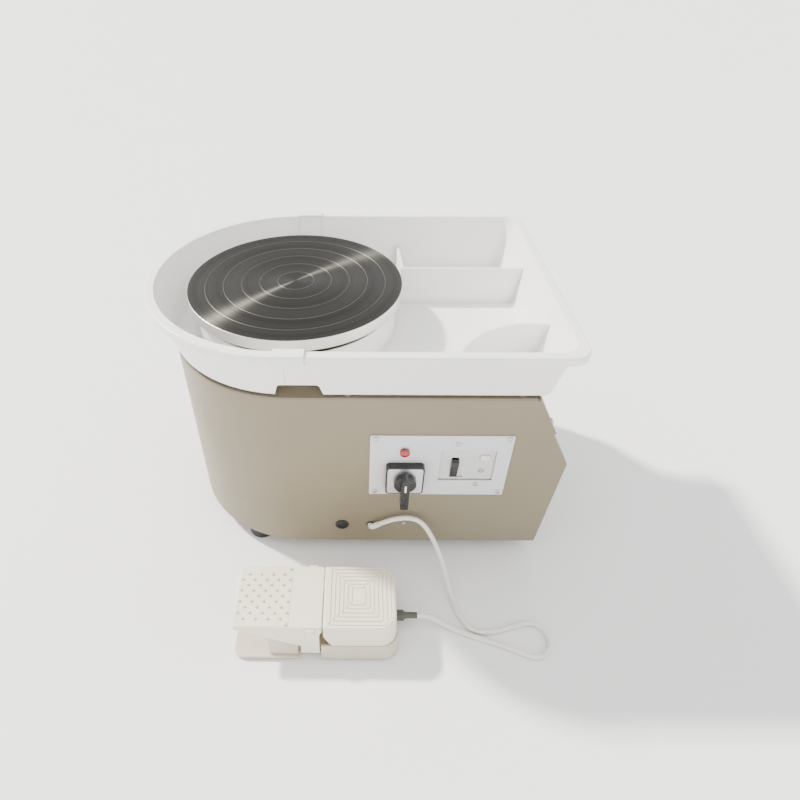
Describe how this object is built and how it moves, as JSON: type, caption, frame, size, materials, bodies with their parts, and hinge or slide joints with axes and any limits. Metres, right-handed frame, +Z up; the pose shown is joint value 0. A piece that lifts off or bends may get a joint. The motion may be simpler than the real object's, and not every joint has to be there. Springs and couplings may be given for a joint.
{
  "type": "pottery wheel",
  "caption": "Electric pottery wheel: belt-driven grooved wheel head over a split splash tray, a control panel with cam switch and breaker, and a foot pedal on a lead.",
  "frame": {"origin": "centre of the wheel head's throwing face; the feet stand 357 mm below it", "axes": "+Z up along the spindle, +X towards the tray's square end, -Y towards the potter and the control panel"},
  "size_m": [0.5386, 0.5181, 0.373],
  "materials": {
    "body_paint": "satin powder coat",
    "zinc_screw": "bright zinc",
    "foot_rubber": "matt",
    "head_aluminium": "turned",
    "hub_aluminium": "machined",
    "shaft_steel": "ground",
    "bearing_steel": "polished",
    "housing_iron": "painted casting",
    "belt_rubber": "matt",
    "motor_paint": "satin",
    "bracket_zinc": "zinc plated",
    "heat_sink": "extruded",
    "black_plastic": "fine texture",
    "panel_face": "matt anodised",
    "lamp_red": "clear tinted",
    "label_silver": "brushed",
    "marker_white": "gloss",
    "breaker_grey": "satin",
    "button_cream": "gloss",
    "tray_plastic": "satin moulding",
    "pedal_plastic": "satin moulding",
    "spring_steel": "drawn wire",
    "board_green": "circuit board",
    "gland_grey": "matt",
    "cord_white": "satin"
  },
  "bodies": {
    "cabinet": {"bearing_housing": "housing_iron", "bearing_lower": "bearing_steel", "bearing_upper": "bearing_steel", "blanking_plug": "breaker_grey", "body_shell": "body_paint", "bottom_plate": "body_paint", "breaker_body": "black_plastic", "breaker_face": "breaker_grey", "breaker_screws": "zinc_screw", "control_panel": "panel_face", "controller_cover": "black_plastic", "controller_heat_sink": "heat_sink", "cord_gland": "gland_grey", "cord_sleeve": "cord_white", "deck": "body_paint", "deck_screws": "zinc_screw", "drive_belt": "belt_rubber", "end_cover": "body_paint", "end_cover_screws": "zinc_screw", "end_panel": "body_paint", "foot_back_left": "foot_rubber", "foot_back_right": "foot_rubber", "foot_front_left": "foot_rubber", "foot_front_right": "foot_rubber", "foot_screws": "zinc_screw", "front_screw": "zinc_screw", "housing_bolts": "zinc_screw", "lamp_holder": "label_silver", "lamp_lens": "lamp_red", "mains_inlet": "black_plastic", "motor_body": "motor_paint", "motor_bracket": "bracket_zinc", "panel_screws": "zinc_screw", "pedal_base": "pedal_plastic", "pedal_cord": "cord_white", "pedal_cover": "pedal_plastic", "pedal_gland": "gland_grey", "pedal_hinge_pin": "shaft_steel", "pedal_pads": "foot_rubber", "pedal_screws": "zinc_screw", "pedal_sensor_board": "board_green", "pedal_spring": "spring_steel", "switch_body": "black_plastic", "switch_frame": "black_plastic", "switch_label": "label_silver"},
    "spindle": {"wheel_head": "head_aluminium", "head_hub": "hub_aluminium", "head_screws": "zinc_screw", "spindle_shaft": "shaft_steel", "driven_pulley": "hub_aluminium", "pulley_nut": "zinc_screw"},
    "motor_rotor": {"motor_shaft": "shaft_steel", "motor_pulley": "hub_aluminium"},
    "switch_handle": {"switch_knob": "black_plastic", "switch_marker": "marker_white"},
    "breaker_rocker": {"breaker_toggle": "black_plastic"},
    "test_button": {"breaker_test_button": "button_cream"},
    "treadle": {"pedal_treadle": "pedal_plastic"},
    "left_tray_half": {"tray_left": "tray_plastic"},
    "right_tray_half": {"tray_right": "tray_plastic"}
  },
  "joints": [
    {"name": "wheel_spin", "type": "hinge", "parent": "cabinet", "child": "spindle", "pos_m": [0, 0, -0.117], "axis": [0, 0, 1], "continuous": true},
    {"name": "motor_spin", "type": "hinge", "parent": "cabinet", "child": "motor_rotor", "pos_m": [0.205, 0.045, -0.234], "axis": [0, 0, 1], "continuous": true},
    {"name": "switch_turn", "type": "hinge", "parent": "cabinet", "child": "switch_handle", "pos_m": [0.143, -0.1755, -0.1935], "axis": [0, 1, 0], "range_deg": [-60, 60]},
    {"name": "breaker_rock", "type": "hinge", "parent": "cabinet", "child": "breaker_rocker", "pos_m": [0.2065, -0.154, -0.1804], "axis": [1, 0, 0], "range_deg": [-12, 0]},
    {"name": "test_press", "type": "slide", "parent": "cabinet", "child": "test_button", "axis": [0, 1, 0], "range_m": [0, 0.002], "stiffness_N_per_m": 200, "springref_m": -0.001},
    {"name": "treadle_press", "type": "hinge", "parent": "cabinet", "child": "treadle", "pos_m": [0.025, -0.2744, -0.337], "axis": [0, -1, 0], "range_deg": [0, 5], "stiffness_Nm_per_rad": 0.8, "springref_deg": -14.32, "deforming": ["pedal_spring"]},
    {"name": "left_tray_slide", "type": "slide", "parent": "cabinet", "child": "left_tray_half", "axis": [-1, 0, 0], "range_m": [0, 0.25]},
    {"name": "right_tray_slide", "type": "slide", "parent": "cabinet", "child": "right_tray_half", "axis": [1, 0, 0], "range_m": [0, 0.2]}
  ],
  "couplings": [
    {"joint": "motor_spin", "follows": "wheel_spin", "ratio": 3.75}
  ]
}
